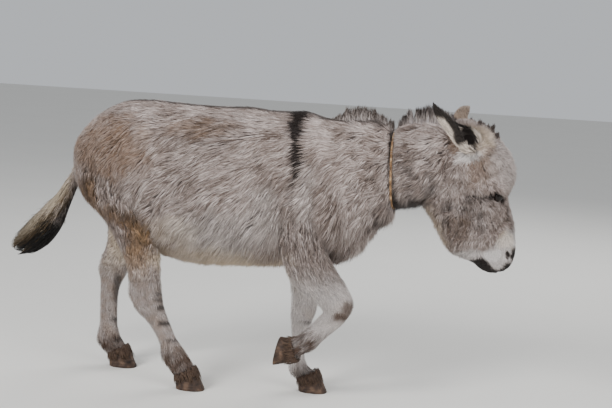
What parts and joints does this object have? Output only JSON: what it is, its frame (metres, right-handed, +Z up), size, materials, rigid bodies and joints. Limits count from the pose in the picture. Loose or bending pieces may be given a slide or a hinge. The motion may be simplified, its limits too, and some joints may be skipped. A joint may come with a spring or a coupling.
{
  "type": "donkey",
  "caption": "Shaggy grey donkey walking with its head low and one forefoot raised, wearing a cord round its neck; a still, life-size animal figure.",
  "frame": {"origin": "on the ground under the middle of the bounding box", "axes": "+X the way the donkey walks, +Y its left side, +Z up"},
  "size_m": [1.969, 0.45, 1.1292],
  "materials": {
    "coat": "matt, shaggy warm grey winter coat",
    "long_hair": "matt, coarse dark brown-grey hair",
    "muzzle": "matt, short off-white hair",
    "lip": "satin, bare dark skin and short hair",
    "hoof": "dull brown horn with dried mud",
    "eye": "wet gloss",
    "rope": "twisted tan cord, matt"
  },
  "bodies": {
    "root": {"chin": "lip", "ear_left": "coat", "ear_right": "coat", "eye_left": "eye", "eye_right": "eye", "foreleg_left_cannon": "coat", "foreleg_left_hoof": "hoof", "foreleg_left_pastern": "coat", "foreleg_left_upper": "coat", "foreleg_right_cannon": "coat", "foreleg_right_hoof": "hoof", "foreleg_right_pastern": "coat", "foreleg_right_upper": "coat", "forelock": "long_hair", "head": "coat", "hindleg_left_cannon": "coat", "hindleg_left_hoof": "hoof", "hindleg_left_pastern": "coat", "hindleg_left_upper": "coat", "hindleg_right_cannon": "coat", "hindleg_right_hoof": "hoof", "hindleg_right_pastern": "coat", "hindleg_right_upper": "coat", "mane_front": "long_hair", "mane_rear": "long_hair", "muzzle": "muzzle", "neck_lower": "coat", "neck_rope": "rope", "neck_upper": "coat", "tail_dock": "coat", "tail_switch": "long_hair", "trunk_barrel": "coat", "trunk_chest": "coat", "trunk_croup": "coat"}
  },
  "joints": []
}
